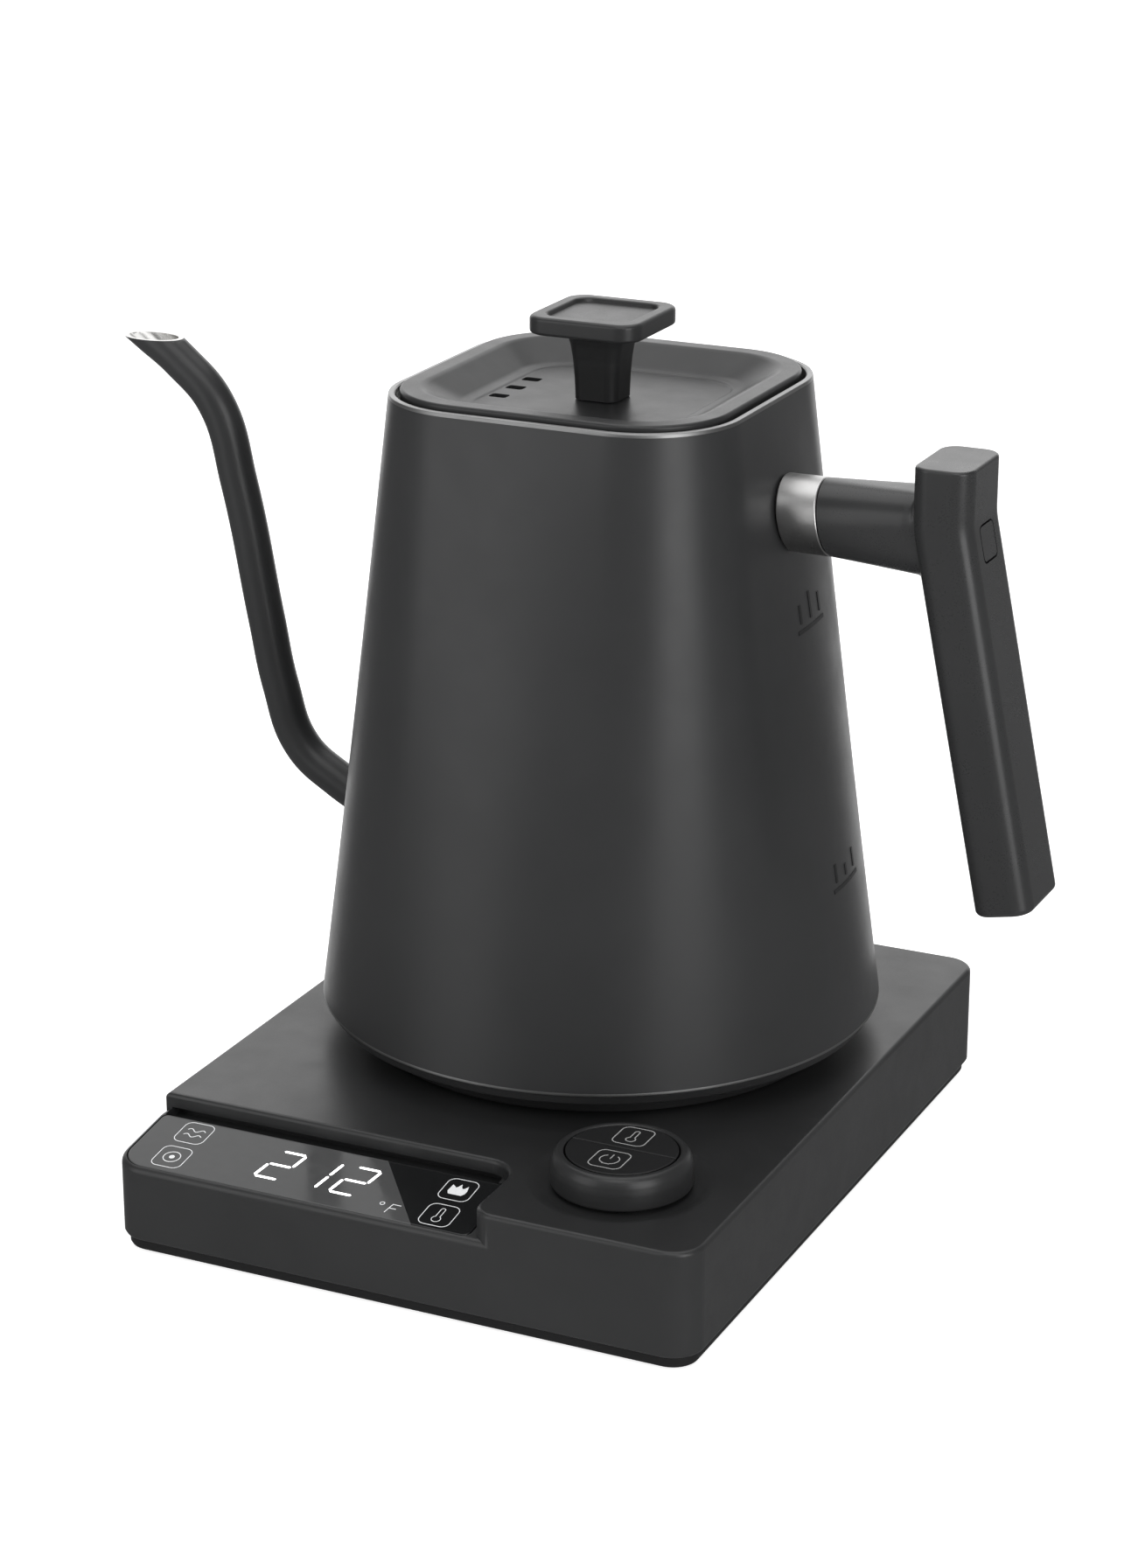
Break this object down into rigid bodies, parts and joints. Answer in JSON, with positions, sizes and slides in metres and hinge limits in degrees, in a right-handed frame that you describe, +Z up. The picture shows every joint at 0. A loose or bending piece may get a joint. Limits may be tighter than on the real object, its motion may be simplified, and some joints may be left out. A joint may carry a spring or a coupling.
{
  "type": "gooseneck kettle",
  "caption": "Electric gooseneck kettle with a lift-out lid and a bar handle, on a swivelling powered base with a turning dial, two push buttons and a sloped display.",
  "frame": {"origin": "middle of the outline at the height the feet stand on", "axes": "+X towards the handle, -X towards the spout, -Y towards the display and dial, +Z up"},
  "size_m": [0.2485, 0.1886, 0.2118],
  "materials": {
    "paint": "satin charcoal powder coat",
    "plastic": "fine matte charcoal",
    "dark_plastic": "matte black",
    "glass": "polished black",
    "steel": "fine brushed",
    "screw_steel": "bright plated",
    "aluminium": "as cast",
    "rubber": "matte",
    "silicone": "matte grey",
    "board": "green laminate",
    "light_plastic": "satin"
  },
  "bodies": {
    "base": {"base_housing": "plastic", "base_bottom_cover": "dark_plastic", "base_foot_1": "rubber", "base_foot_2": "rubber", "base_foot_3": "rubber", "base_foot_4": "rubber", "base_screw_1": "screw_steel", "base_screw_2": "screw_steel", "base_screw_3": "screw_steel", "base_screw_4": "screw_steel", "base_connector": "dark_plastic", "cord_gland": "rubber", "power_board": "board", "power_relay": "dark_plastic", "control_board": "board", "display_board": "board", "display_module": "dark_plastic", "display_ribbon": "light_plastic", "connector_lead_live": "dark_plastic", "connector_lead_neutral": "light_plastic", "connector_lead_earth": "silicone", "display_glass": "glass", "dial_encoder": "dark_plastic", "button_carrier": "dark_plastic", "button_board": "board", "power_switch": "dark_plastic", "unit_switch": "dark_plastic"},
    "kettle_seat": {"connector_socket": "dark_plastic"},
    "kettle": {"kettle_body": "paint", "kettle_floor": "steel", "heat_spreader": "aluminium", "heating_element": "steel", "temperature_probe": "steel", "probe_seal": "silicone", "kettle_bottom_cover": "plastic", "bottom_cover_screw_1": "screw_steel", "bottom_cover_screw_2": "screw_steel", "bottom_cover_screw_3": "screw_steel", "spout": "paint", "handle_collar": "steel", "handle_boss": "steel", "handle": "plastic", "handle_screw": "screw_steel", "handle_screw_cover": "plastic"},
    "lid": {"lid_cover": "paint", "lid_inner_tray": "steel", "lid_seal": "silicone", "lid_knob": "plastic", "lid_knob_screw": "screw_steel"},
    "dial": {"dial_ring": "plastic"},
    "power_button": {"power_button": "plastic"},
    "unit_button": {"unit_button": "plastic"}
  },
  "joints": [
    {"name": "kettle_lift", "type": "slide", "parent": "base", "child": "kettle_seat", "axis": [0, 0, 1], "range_m": [0, 0.06]},
    {"name": "kettle_swivel", "type": "hinge", "parent": "kettle_seat", "child": "kettle", "pos_m": [0.00887, 0.02025, 0.0392], "axis": [0, 0, 1], "continuous": true},
    {"name": "lid_lift", "type": "slide", "parent": "kettle", "child": "lid", "axis": [0, 0, 1], "range_m": [0, 0.05]},
    {"name": "dial_turn", "type": "hinge", "parent": "base", "child": "dial", "pos_m": [0.05347, -0.06475, 0.0302], "axis": [0, 0, 1], "continuous": true},
    {"name": "power_button_press", "type": "slide", "parent": "base", "child": "power_button", "axis": [0, 0, -1], "range_m": [0, 0.0006], "stiffness_N_per_m": 800},
    {"name": "unit_button_press", "type": "slide", "parent": "base", "child": "unit_button", "axis": [0, 0, -1], "range_m": [0, 0.0006], "stiffness_N_per_m": 800}
  ]
}
